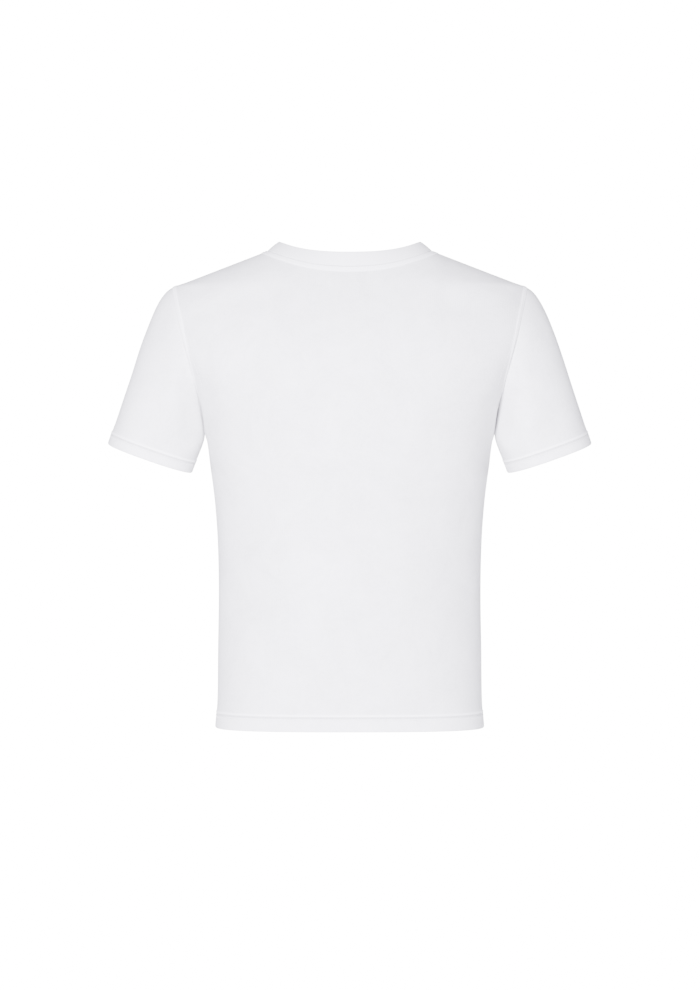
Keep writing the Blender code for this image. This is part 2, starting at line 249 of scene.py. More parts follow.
def armhole_x(z, side):
    """How far out the armhole seam lies at a height. It is cut in a little at the front."""
    x = between(ARMHOLE, z).half_width
    if side > 0:
        return x
    share = (z + SHOULDER_DROP) / (SHOULDER_DROP - UNDERARM_DROP)
    return x - FRONT_SCOOP * math.sin(math.pi * min(max(share, 0.0), 1.0)) ** 2


def from_armhole(point, side):
    """How far a point is from the armhole seam, at the point's own height."""
    return abs(point.x - armhole_x(max(point.z, -UNDERARM_DROP), side))


def folded_body(point, side):
    """The point of a panel drawn towards the middle of the sleeve by the armpit fold and its hollow."""
    row = between(ARMHOLE, point.z)
    away = from_armhole(point, side)
    below = max(-UNDERARM_DROP - point.z, 0.0)
    depth = (row.drawn_in - row.body_hollow) * bell(away, FOLD_REACH) * bell(below, FOLD_FADE)
    depth += row.body_hollow * math.exp(-away / BODY_HOLLOW_REACH) * bell(below, HOLLOW_FADE)
    return Vector((point.x, point.y * (1.0 - depth), point.z))


def folded_sleeve(point, side):
    """The same on the sleeve, which falls away to the seam more slowly."""
    row = between(ARMHOLE, point.z)
    below = max(-UNDERARM_DROP - point.z, 0.0)
    away = from_armhole(point, side)
    left = max(1.0 - away / row.reach, 0.0)
    depth = (row.drawn_in - row.sleeve_hollow) * bell(away, FOLD_REACH) * bell(below, FOLD_FADE)
    depth += row.sleeve_hollow * left**2 * bell(below, HOLLOW_FADE)
    return Vector((point.x, point.y * (1.0 - depth), point.z))


def armhole_height(share):
    """The height at a share of the way from the underarm to the shoulder point, dense at both ends."""
    rise = (1.0 - math.cos(math.pi * share)) / 2
    return -UNDERARM_DROP + rise * (UNDERARM_DROP - SHOULDER_DROP)


def top_edge(across, side):
    """x and z of a panel's top edge, from the centre at 0 by the neck point to the shoulder point at 1."""
    if across <= NECK_SHARE:
        angle = math.pi / 2 * across / NECK_SHARE
        share = math.sin(angle)
        if side > 0:
            return NECK_HALF_WIDTH * share, -BACK_NECK_DROP * (1.0 - share**2.2)
        return NECK_HALF_WIDTH * share, -FRONT_NECK_DROP * math.cos(angle) ** 1.3
    start = math.asin(NECK_HALF_WIDTH / SHOULDER_HALF_WIDTH)
    along = (across - NECK_SHARE) / (1.0 - NECK_SHARE)
    x = SHOULDER_HALF_WIDTH * math.sin(start + (math.pi / 2 - start) * along)
    z = -SHOULDER_DROP * (x - NECK_HALF_WIDTH) / (SHOULDER_HALF_WIDTH - NECK_HALF_WIDTH)
    return between(SECTIONS, z).half_width, z


def yoke_spot(across, share, side):
    """x and z on a panel above the underarm, at a share of the way up to its top edge."""
    edge_z = armhole_height(share)
    edge_x = armhole_x(edge_z, side)
    top_x, top_z = top_edge(across, side)
    even = math.sin(math.pi / 2 * across)
    rise_centre = math.sin(math.pi / 2 * share)
    out = even + (top_x / SHOULDER_HALF_WIDTH - even) * rise_centre
    rise_edge = (edge_z + UNDERARM_DROP) / (UNDERARM_DROP - SHOULDER_DROP)
    rise = rise_centre + (rise_edge - rise_centre) * out**4
    return edge_x * out, -UNDERARM_DROP + rise * (top_z + UNDERARM_DROP)


# ---- The form of a sleeve, at +X ----

SLOPE, SWING = math.radians(CUFF_SLOPE), math.radians(SLEEVE_SWING)
CUFF_ACROSS = Vector((math.cos(SLOPE), 0.0, math.sin(SLOPE)))
CUFF_BACK = Vector((0.0, math.cos(SWING), -math.sin(SWING)))
CUFF_DOWN = CUFF_BACK.cross(CUFF_ACROSS).normalized()


def squared_off(share, angle, power):
    """A sine or cosine of an angle round the cuff, raised to a power on the cuff's fuller outer half."""
    return math.copysign(abs(share) ** power, share) if math.cos(angle) > 0 else share


def armhole_point(angle):
    """The armhole seam on the sleeve's side, at an angle round it from the shoulder point by the back."""
    side = BACK if angle <= math.pi else FRONT
    z = armhole_height(1.0 - min(angle, 2 * math.pi - angle) / math.pi)
    clear = 0.0 if math.isclose(math.sin(angle), 0.0, abs_tol=1e-9) else side * SEAM_GAP / 2
    return body_point(armhole_x(z, side), z, side) + Vector((0.0, clear, 0.0))


class SleeveLength:
    """One line of the sleeve from armhole to cuff, read by the distance along it."""

    STEPS = 80  # in which its length is measured

    def __init__(self, angle):
        start = armhole_point(angle)
        self.side = BACK if angle <= math.pi else FRONT
        power = 2.0 / CUFF_FULLNESS
        end = CUFF_CENTRE + CUFF_ACROSS * CUFF_HALF_WIDTH * squared_off(math.cos(angle), angle, power)
        end += CUFF_BACK * CUFF_HALF_DEPTH * squared_off(math.sin(angle), angle, power)
        line = between(SLEEVE_LINES, 180.0 - abs(math.degrees(angle) - 180.0))
        drop = math.radians(line.drop)
        leave = Vector((math.cos(drop), line.spread * math.sin(angle), -math.sin(drop))).normalized()
        reach = (end - start).length
        first = start + leave * line.start_handle * reach
        second = end - CUFF_DOWN * line.end_handle * reach
        self.handles = (start, first, second, end)
        self.marks = [0.0]
        points = [self.at(k / self.STEPS) for k in range(self.STEPS + 1)]
        for a, b in zip(points, points[1:]):
            self.marks.append(self.marks[-1] + (b - a).length)
        self.length = self.marks[-1]

    def at(self, t):
        """The point at a parameter of the curve."""
        a, b, c, d = self.handles
        s = 1.0 - t
        return a * s**3 + b * 3 * s * s * t + c * 3 * s * t * t + d * t**3

    def parameter(self, distance):
        """The curve's parameter at a distance along it."""
        k = min(max(sum(mark <= distance for mark in self.marks) - 1, 0), self.STEPS - 1)
        return (k + (distance - self.marks[k]) / (self.marks[k + 1] - self.marks[k])) / self.STEPS

    def point(self, distance):
        """The sleeve's outer face at a distance from the armhole, with the armpit fold and hollow in it."""
        return folded_sleeve(self.at(self.parameter(distance)), self.side)


# ---- The form of the neckline ----


def neckline_point(angle):
    """The neckline seam at an angle round it, from the +X neck point by the back, and the body's normal."""
    side = BACK if angle <= math.pi else FRONT
    across = math.acos(min(abs(math.cos(angle)), 1.0))
    x, z = top_edge(NECK_SHARE * (1.0 - across / (math.pi / 2)), side)
    x = math.copysign(x, math.cos(angle))
    point = body_point(x, z, side)
    clear = side * SEAM_GAP / 2 * min(1.0, abs(math.sin(angle)) * 40)
    return point + Vector((0.0, clear, 0.0)), body_normal(point, side)


def band_rise(angle, start):
    """The direction in which the neckband stands on its seam."""
    end_lean = BAND_LEAN_BACK if math.sin(angle) > 0 else BAND_LEAN_FRONT
    lean = math.radians(blend(BAND_LEAN_SIDE, end_lean, math.sin(angle) ** 4))
    inwards = Vector((-start.x, -start.y, 0.0)).normalized()
    return inwards * math.sin(lean) + Vector((0.0, 0.0, math.cos(lean)))


# ---- Seams, hems and creases ----


def tree_of(points):
    """A tree that gives the distance to a line of points."""
    tree = KDTree(len(points))
    for index, point in enumerate(points):
        tree.insert(point, index)
    tree.balance()
    return tree


def seam_relief(distance):
    """A plain seam: the cloth's edge rolls in."""
    return -SEAM_DIP * (1.0 - ease(distance, 0.0, SEAM_ROLL))


def topstitched_relief(distance, row):
    """A seam whose allowance is stitched down beneath the cloth at a row, and lifts it as a soft band."""
    if distance > row + RELIEF_REACH:
        return 0.0
    lifted = ALLOWANCE_LIFT * ease(distance, 0.0, ALLOWANCE_EDGE)
    lifted *= 1.0 - ease(distance, row, row + ALLOWANCE_EDGE)
    return lifted - TOPSTITCH_DIP * bell(distance - row, ROW_WIDTH)


def hem_relief(height, hem):
    """A hem turned up once and sewn with two needle rows, which stand a soft ridge between them."""
    if height > hem.turn_up + RELIEF_REACH:
        return 0.0
    lifted = TURN_UP_LIFT * ease(height, 0.0, 0.003)
    lifted *= 1.0 - ease(height, hem.turn_up, hem.turn_up + TURN_UP_EDGE)
    ridge = RIDGE_LIFT * bell(height - (hem.lower_row + hem.upper_row) / 2, RIDGE_WIDTH)
    above = RAW_EDGE_LIFT * bell(height - hem.turn_up, RAW_EDGE_WIDTH)
    rows = UPPER_ROW_DIP * bell(height - hem.upper_row, UPPER_ROW_WIDTH)
    rows += LOWER_ROW_DIP * bell(height - hem.lower_row, ROW_WIDTH)
    return lifted + ridge + above - rows


def doubled_beside(distance, row):
    """How fully the cloth lies on the allowance beneath it, between a seam and its row of stitches."""
    return ease(distance, -0.0002, 0.0006) * (1.0 - ease(distance, row, row + 0.0010))


def doubled_and_painted_shade_at(height, hem):
    """How fully the cloth lies on its hem's turn-up, and below 0 painted shade where a needle row draws it
    in.

    The raw edge inside is bulked up by thread.
    """
    if height > hem.turn_up + 0.003:
        return 0.0
    edge = bell(height - hem.turn_up, 0.0013)
    # Painted shade, for the shadow in the groove where a needle row draws the cloth in.
    drawn_in = UPPER_ROW_SHADE * bell(height - hem.upper_row, 0.0010)
    drawn_in += LOWER_ROW_SHADE * bell(height - hem.lower_row, ROW_WIDTH)
    return max(TURN_UP_WHITE * (1.0 - ease(height, hem.upper_row, hem.turn_up)), edge) - drawn_in


BELL_END = 2.5  # past this many widths a bell is as good as 0

Crease = namedtuple("Crease", "x z turn length width rise")
SleeveCreases = namedtuple("SleeveCreases", "back front")


def crease_relief(creases, x, z):
    """The rise and fall of a sheet's creases. turn is the angle of a crease from level, in degrees."""
    relief = 0.0
    for crease in creases:
        turn = math.radians(crease.turn)
        along = (x - crease.x) * math.cos(turn) + (z - crease.z) * math.sin(turn)
        if abs(along) > BELL_END * crease.length:
            continue
        off = (z - crease.z) * math.cos(turn) - (x - crease.x) * math.sin(turn)
        if abs(off) < BELL_END * crease.width:
            relief += crease.rise * bell(along, crease.length) * bell(off, crease.width)
    return relief


def loose_relief(point, seed):
    """The faint unevenness of jersey that hangs free: waves about 70 mm long, and weaker ones of 26 mm."""
    broad = noise.noise(Vector((point.x * 14 + seed, point.y * 14, point.z * 9)))
    small = noise.noise(Vector((point.x * 38, point.y * 38 + seed, point.z * 26)))
    return 0.0010 * broad + 0.0003 * small


# ---- Sheets ----


def steps(*runs):
    """Distances from 0 on, made of runs of (end, number of steps)."""
    marks = [0.0]
    for end, count in runs:
        start = marks[-1]
        marks += [start + (end - start) * k / count for k in range(1, count + 1)]
    return marks


def grid_sheet(columns, rows, place, weld=False):
    """A flat grid laid on a form by place(i, j), with a UV map in metres.

    Returns its bmesh and each vertex's i and j. With weld, its last column is sewn to its first.
    """
    bm = bmesh.new()
    # Whiter where the cloth lies double, and below 0 painted shade along a hem's needle rows.
    bm.verts.layers.float.new("doubled_and_painted_shade")
    bmesh.ops.create_grid(bm, x_segments=columns, y_segments=rows, size=0.5)
    spots = {}
    for vert in bm.verts:
        spots[vert] = (round((vert.co.x + 0.5) * columns), round((vert.co.y + 0.5) * rows))
    points = {}
    for vert, (i, j) in spots.items():
        vert.co = place(i, j)
        points[i, j] = vert.co.copy()
    across = {}
    middle = columns // 2
    for j in range(rows + 1):
        across[middle, j] = 0.0
        for i in range(middle + 1, columns + 1):
            across[i, j] = across[i - 1, j] + (points[i, j] - points[i - 1, j]).length
        for i in range(middle - 1, -1, -1):
            across[i, j] = across[i + 1, j] - (points[i, j] - points[i + 1, j]).length
    along = [0.0]
    for j in range(1, rows + 1):
        along.append(along[-1] + (points[middle, j] - points[middle, j - 1]).length)
    cloth = bm.loops.layers.uv.new("cloth")
    for face in bm.faces:
        for loop in face.loops:
            i, j = spots[loop.vert]
            loop[cloth].uv = (across[i, j], along[j])
    if weld:
        verts = {spot: vert for vert, spot in spots.items()}
        bmesh.ops.weld_verts(bm, targetmap={verts[columns, j]: verts[0, j] for j in range(rows + 1)})
        spots = {vert: spot for vert, spot in spots.items() if vert.is_valid}
    bm.normal_update()
    return bm, spots


def turned_spot(path, hem):
    """The height above a hem's fold, and how far in, at a distance along the sheet from the raw edge."""
    rise = hem.turn_up - FOLD_RADIUS
    arc = math.pi * FOLD_RADIUS
    if path < rise:
        return hem.turn_up - path, 2 * FOLD_RADIUS
    if path < rise + arc:
        turn = (path - rise) / FOLD_RADIUS
        return FOLD_RADIUS * (1.0 - math.sin(turn)), FOLD_RADIUS * (1.0 + math.cos(turn))
    return path - rise - arc + FOLD_RADIUS, 0.0


def hem_path(hem, *runs):
    """Distances along a sheet from its hem's raw edge: the turn-up, the fold, then the outside by runs."""
    rise = hem.turn_up - FOLD_RADIUS
    fold_end = rise + math.pi * FOLD_RADIUS
    marks = steps((rise, 8), (fold_end, 6))
    return marks + [fold_end - FOLD_RADIUS + mark for mark in steps(*runs)[1:] if mark > FOLD_RADIUS]


# How a panel's grid lies on it. Columns are dense at the side and beside the neck point, as shares of
# the way to the neck point and from there to the centre. Rows over the yoke are dense at its top edge.
SIDE_COLUMNS = steps((0.012, 8), (0.06, 10), (0.15, 8), (0.93, 27), (1.0, 12))
NECK_COLUMNS = steps((0.06, 8), (1.0, 29))
YOKE_ROWS = steps((0.0072, 12), (0.020, 9), (0.18, 48))[::-1]
HEM_RUNS = ((0.011, 13), (0.021, 26), (0.024, 4), (BODY_LENGTH - UNDERARM_DROP, 64))
# The same for a sleeve, whose rows are dense at its armhole and at its cuff.
SLEEVE_COLUMNS = 180
ARMHOLE_ROWS = steps((0.002, 8), (0.009, 7))
MIDDLE_ROWS = 42
CUFF_RUNS = ((0.0085, 10), (0.0165, 21), (0.020, 4))


def spaced(curve, low, high, shares):
    """Points of curve(t) from low to high, at shares of the length between them."""
    count = 60  # of the steps in which the curve's length is measured, shorter near low
    marks = [blend(low, high, (k / count) ** 1.5) for k in range(count + 1)]
    points = [curve(mark) for mark in marks]
    lengths = [0.0]
    for a, b in zip(points, points[1:]):
        lengths.append(lengths[-1] + (b - a).length)
    found = []
    k = 0
    for share in shares:
        goal = share * lengths[-1]
        while k < count - 1 and lengths[k + 1] < goal:
            k += 1
        part = (goal - lengths[k]) / (lengths[k + 1] - lengths[k])
        found.append(curve(blend(marks[k], marks[k + 1], min(max(part, 0.0), 1.0))))
    return found


def finish_sheet(name, bm, allowance, thickness, material, node):
    """Makes a sheet's object, gives it its thickness inwards, hides the solid that it stands for and puts
    it under the root.
    """
    cloth = mesh_object(name, bm, material)
    solid = cloth.modifiers.new("thickness", "SOLIDIFY")
    solid.thickness = thickness
    solid.offset = -1.0
    if allowance:
        group = cloth.vertex_groups.new(name="allowance")
        for weight, indices in allowance.items():
            group.add(indices, weight, "REPLACE")
        solid.thickness = SEAM_LAYERS
        solid.vertex_group = "allowance"
        solid.thickness_vertex_group = thickness / SEAM_LAYERS
    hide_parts(node)
    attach(cloth, "root")
    return cloth


def allowances(nearest):
    """Indices of vertices by how fully they lie over a seam allowance."""
    found = {}
    for vert, distance in nearest.items():
        weight = round(1.0 - ease(distance, ALLOWANCE - 0.001, ALLOWANCE), 1)
        if weight > 0:
            found.setdefault(weight, []).append(vert.index)
    return found


def panel_row(side, j, path):
    """Half of a panel's row j, from its side at +X to the centre. Rows past the path's are the yoke's."""
    clear = Vector((0.0, side * SEAM_GAP / 2, 0.0))
    height, inwards = turned_spot(path[j], BODY_HEM) if j < len(path) else (0.0, 0.0)
    share = 0.0
    if j >= len(path):
        share = math.asin(1.0 - YOKE_ROWS[j - len(path) + 1] / YOKE_ROWS[0]) / (math.pi / 2)

    def curve(across):
        if share:
            x, z = yoke_spot(across, share, side)
        else:
            z = height - BODY_LENGTH
            x = between(SECTIONS, z).half_width * math.sin(math.pi / 2 * across)
        point = body_point(x, z, side)
        if inwards:
            point -= body_normal(point, side) * inwards
        if z > -UNDERARM_DROP - 3 * HOLLOW_FADE:
            point = folded_body(point, side)
        return point + clear

    outer = spaced(curve, 1.0, NECK_SHARE, SIDE_COLUMNS)
    return outer + spaced(curve, NECK_SHARE, 0.0, NECK_COLUMNS)[1:]


def panel_seams(side):
    """Trees of points along a panel's neckline, its armholes, and its plain side and shoulder seams."""
    start = 0.0 if side > 0 else math.pi
    count = 900  # of steps along each
    neck = [neckline_point(start + math.pi * k / count)[0] for k in range(count + 1)]
    armholes, plain = [], []
    for k in range(count + 1):
        z = armhole_height(k / count)
        low = blend(-BODY_LENGTH, -UNDERARM_DROP, k / count)
        shoulder = body_point(*top_edge(blend(NECK_SHARE, 1.0, k / count), side), side)
        armholes.append(folded_body(body_point(armhole_x(z, side), z, side), side))
        plain += [Vector((between(SECTIONS, low).half_width, 0.0, low)), shoulder]
    mirrored = [[Vector((-p.x, p.y, p.z)) for p in points] for points in (armholes, plain)]
    return tree_of(neck), tree_of(armholes + mirrored[0]), tree_of(plain + mirrored[1])


def panel_sheet(name, side, creases, seed, material, node):
    """The back or the front, from the raw edge of its hem to its neckline and shoulder seams."""
    path = hem_path(BODY_HEM, *HEM_RUNS)
    halves = [panel_row(side, j, path) for j in range(len(path) + len(YOKE_ROWS) - 1)]
    middle = len(halves[0]) - 1

    def place(i, j):
        point = halves[j][middle - abs(i - middle)]
        return point if (i < middle) == (side > 0) else Vector((-point.x, point.y, point.z))

    bm, spots = grid_sheet(2 * middle, len(halves) - 1, place)
    neck, armholes, plain = panel_seams(side)
    doubled_and_painted_shade = bm.verts.layers.float["doubled_and_painted_shade"]
    rises, nearest = {}, {}
    for vert, (_, j) in spots.items():
        height, inwards = turned_spot(path[j], BODY_HEM) if j < len(path) else (1.0, 0.0)
        if inwards:
            vert[doubled_and_painted_shade] = TURN_UP_WHITE
            continue
        to_neck, to_armhole, to_plain = (tree.find(vert.co)[2] for tree in (neck, armholes, plain))
        near = nearest[vert] = min(to_neck, to_armhole, to_plain)
        rise = seam_relief(near)
        rise += topstitched_relief(to_neck, NECK_STITCH) + topstitched_relief(to_armhole, ARMHOLE_STITCH)
        rise += hem_relief(height, BODY_HEM)
        rise += crease_relief(creases, vert.co.x, vert.co.z) * ease(near, 0.0, 0.006)
        rise += loose_relief(vert.co, seed) * ease(near, 0.003, 0.03) * ease(height, 0.01, 0.06)
        rises[vert] = rise
        seams = max(doubled_beside(to_neck, NECK_STITCH), doubled_beside(to_armhole, ARMHOLE_STITCH))
        # Along the hem's needle rows this is painted shade, below 0.
        vert[doubled_and_painted_shade] = seams if seams > 0.4 else doubled_and_painted_shade_at(height, BODY_HEM)
    for vert, rise in rises.items():
        vert.co += vert.normal * rise
    bm.normal_update()
    surface = BVHTree.FromBMesh(bm)
    cloth = finish_sheet(name, bm, allowances(nearest), JERSEY, material, node)
    return cloth, surface


def sleeve_lines(columns):
    """The lines of the sleeve at +X, from its seam underneath over the top and back to it."""
    angles = [math.pi - 2 * math.pi * i / columns for i in range(columns + 1)]
    return [SleeveLength(angle if angle >= 0.0 else angle + 2 * math.pi) for angle in angles]


def sleeve_sheet(name, flip, lines, creases, seed, material, node):
    """A sleeve from its armhole to its cuff, closed by a seam underneath. flip is LEFT or RIGHT."""
    columns = len(lines) - 1
    near = ARMHOLE_ROWS
    turned = hem_path(CUFF_HEM, *CUFF_RUNS)[::-1]
    cuff_reach = turned_spot(turned[0], CUFF_HEM)[0]
    first_turned = len(near) + MIDDLE_ROWS - 1
    spans = {}

    def place(i, j):
        line = lines[i]
        if j < len(near):
            distance = near[j] + SEAM_GAP * (1.0 - ease(near[j], 0.0, 0.003))
            return line.point(distance)
        if j < first_turned:
            share = (j - len(near) + 1) / MIDDLE_ROWS
            return line.point(blend(near[-1], line.length - cuff_reach, share))
        height, inwards = spans[j] = turned_spot(turned[j - first_turned], CUFF_HEM)
        angle = math.pi - 2 * math.pi * i / columns
        power = 2.0 - 2.0 / CUFF_FULLNESS
        out = CUFF_ACROSS * squared_off(math.cos(angle), angle, power) / CUFF_HALF_WIDTH
        out += CUFF_BACK * squared_off(math.sin(angle), angle, power) / CUFF_HALF_DEPTH
        return line.point(line.length - height) - out.normalized() * inwards

    bm, spots = grid_sheet(columns, first_turned + len(turned) - 1, place, weld=True)
    armhole = tree_of([line.point(SEAM_GAP) for line in lines])
    under = tree_of([lines[0].point(lines[0].length * k / 300) for k in range(301)])
    doubled_and_painted_shade = bm.verts.layers.float["doubled_and_painted_shade"]
    rises, nearest = {}, {}
    for vert, (_, j) in spots.items():
        height, inwards = spans.get(j, (1.0, 0.0))
        if inwards:
            vert[doubled_and_painted_shade] = TURN_UP_WHITE
            continue
        to_armhole, to_under = armhole.find(vert.co)[2], under.find(vert.co)[2]
        near_seam = nearest[vert] = min(to_armhole, to_under)
        behind = vert.co.y - CUFF_CENTRE.y
        folds = crease_relief(creases.back, vert.co.x, vert.co.z) * ease(behind, 0.0, 0.02)
        folds += crease_relief(creases.front, vert.co.x, vert.co.z) * ease(-behind, 0.0, 0.02)
        rise = seam_relief(near_seam) + hem_relief(height, CUFF_HEM)
        rise += folds * ease(near_seam, 0.0, 0.006) * ease(height, 0.0, 0.02)
        rise += loose_relief(vert.co, seed) * ease(near_seam, 0.003, 0.02) * ease(height, 0.008, 0.03)
        rises[vert] = rise
        # Along the cuff's needle rows this is painted shade, below 0.
        vert[doubled_and_painted_shade] = doubled_and_painted_shade_at(height, CUFF_HEM)
    for vert, rise in rises.items():
        vert.co += vert.normal * rise
    if flip < 0:
        bmesh.ops.scale(bm, vec=(-1.0, 1.0, 1.0), verts=bm.verts)
        bmesh.ops.reverse_faces(bm, faces=bm.faces)
    bm.normal_update()
    surface = BVHTree.FromBMesh(bm)
    cloth = finish_sheet(name, bm, allowances(nearest), JERSEY, material, node)
    return cloth, surface


def neckband_sheet(name, material, node):
    """The neckband: a strip of rib folded lengthwise, with both its raw edges in the neckline seam."""
    columns, fold = 360, 8
    outer = steps((0.004, 6), (NECKBAND_HEIGHT - BAND_FOLD_RADIUS, 10))
    rows = 2 * len(outer) + fold - 2
    angles = [2 * math.pi * i / columns for i in range(columns)]
    starts, normals = zip(*[neckline_point(angle) for angle in angles])
    rises = [band_rise(angle, start) for angle, start in zip(angles, starts)]
    outs = []
    for i, rise in enumerate(rises):
        along = starts[(i + 1) % columns] - starts[i - 1]
        outs.append(along.cross(rise).normalized())

    def place(i, j):
        i %= columns
        start, rise, out, normal = starts[i], rises[i], outs[i], normals[i]
        if j < len(outer):
            height = outer[j]
            puff = 0.0004 * math.sin(math.pi * height / NECKBAND_HEIGHT)
            rolled = 0.0004 * (1.0 - ease(height, 0.0, 0.0010))
            return start + rise * (height + SEAM_GAP) + out * (puff - rolled)
        if j < len(outer) + fold - 1:
            turn = math.pi * (j - len(outer) + 1) / fold
            lift = outer[-1] + SEAM_GAP + BAND_FOLD_RADIUS * math.sin(turn)
            return start + rise * lift - out * BAND_FOLD_RADIUS * (1.0 - math.cos(turn))
        height = outer[rows - j]
        inwards = normal.lerp(out, ease(height, 0.0, 0.006)).normalized()
        return start + rise * (height + SEAM_GAP) - inwards * 2 * BAND_FOLD_RADIUS

    bm, _ = grid_sheet(columns, rows, place, weld=True)
    return finish_sheet(name, bm, {}, RIB, material, node)


# ---- Stitches ----


def sew(bm, line, surface, flip=1.0):
    """Lays stitches of sewing thread along a line of points, each on the surface of the cloth."""
    travelled, goal = 0.0, STITCH_PITCH / 2
    for a, b in zip(line, line[1:]):
        span = (b - a).length
        while goal <= travelled + span:
            spot = a.lerp(b, (goal - travelled) / span)
            spot = Vector((spot.x * flip, spot.y, spot.z))
            point, normal, _, _ = surface.find_nearest(spot)
            along = Vector(((b.x - a.x) * flip, b.y - a.y, b.z - a.z))
            along = (along - normal * along.dot(normal)).normalized()
            turn = Matrix((along, normal.cross(along), normal)).transposed().to_4x4()
            size = Matrix.Diagonal((STITCH_LENGTH / 2, THREAD / 2, THREAD * 0.4, 1.0))
            place = Matrix.Translation(point + normal * THREAD * 0.12) @ turn @ size
            bmesh.ops.create_uvsphere(bm, u_segments=6, v_segments=4, radius=1.0, matrix=place)
            goal += STITCH_PITCH
        travelled += span


def stitches(name, bm, thread):
    """Makes a piece of the stitches on one sheet."""
    rows = mesh_object(name, bm, thread)
    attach(rows, "root")
    return rows


def panel_stitches(name, side, surface, thread):
    """The two needle rows of a panel's hem, and one row beside its neckline and each armhole."""
    bm = bmesh.new()
    for height in (BODY_HEM.lower_row, BODY_HEM.upper_row):
        z = height - BODY_LENGTH
        width = between(SECTIONS, z).half_width
        angles = [math.pi * (k / 200 - 0.5) for k in range(201)]
        sew(bm, [body_point(width * math.sin(angle), z, side) for angle in angles], surface)
    neck = []
    for k in range(301):
        angle = (0.0 if side > 0 else math.pi) + math.pi * k / 300
        point, normal = neckline_point(angle)
        along = neckline_point(angle + 0.01)[0] - neckline_point(angle - 0.01)[0]
        neck.append(point + along.cross(normal).normalized() * NECK_STITCH)
    sew(bm, neck, surface)
    for flip in (LEFT, RIGHT):
        line = []
        for k in range(201):
            z = blend(-SHOULDER_DROP - 0.001, -0.150, k / 200)
            point = body_point(armhole_x(z, side), z, side)
            slope = body_point(armhole_x(z, side) - 0.002, z, side) - point
            line.append(point + slope.normalized() * ARMHOLE_STITCH)
        sew(bm, line, surface, flip)
    return stitches(name, bm, thread)


def cuff_stitches(name, flip, lines, surface, thread):
    """The two needle rows of a sleeve's hem."""
    bm = bmesh.new()
    for height in (CUFF_HEM.lower_row, CUFF_HEM.upper_row):
        sew(bm, [line.point(line.length - height) for line in lines], surface, flip)
    return stitches(name, bm, thread)


# ---- Materials ----


def linear(colour):
    """The linear red, green, blue and alpha of an sRGB hex colour."""
    channels = [int(colour[k : k + 2], 16) / 255 for k in (1, 3, 5)]
    return [c / 12.92 if c <= 0.04045 else ((c + 0.055) / 1.055) ** 2.4 for c in channels] + [1.0]


def add(tree, kind, values=(), links=(), **settings):
    """Adds a node: its sockets' values by name, its links as socket: (node, output), and its settings."""
    made = tree.nodes.new(kind)
    for name, value in settings.items():
        setattr(made, name, value)
    for socket, value in dict(values).items():
        made.inputs[socket].default_value = value
    for socket, (source, output) in dict(links).items():
        tree.links.new(source.outputs[output], made.inputs[socket])
    return made


def new_material(name):
    """An empty material and its node tree."""
    material = bpy.data.materials.new(name)
    material.use_nodes = True
    material.node_tree.nodes.clear()
    return material, material.node_tree


def wave_scale(pitch):
    """The scale that puts a Wave texture's bands this many millimetres apart."""
    return math.pi / 10 / (pitch / 1000)


def mixed_in(tree, colour, tone, share, output):
    """A tone with a colour mixed into it by the share that a node's output gives."""
    links = {"Fac": (share, output), "Color1": (tone, "Color")}
    return add(tree, "ShaderNodeMixRGB", {"Color2": linear(colour)}, links)


def cotton_surface(tree, tone, bump):
    """Gives a material the matt, faintly hairy surface of cotton, with a tone and a bump."""
    shader = add(
        tree,
        "ShaderNodeBsdfPrincipled",
        {"Roughness": 0.92, "Sheen Weight": 0.04, "Sheen Roughness": 0.5, "Specular IOR Level": 0.2},
        {"Base Color": (tone, "Color"), "Normal": (bump, "Normal")},
    )
    add(tree, "ShaderNodeOutputMaterial", {}, {"Surface": (shader, "BSDF")})


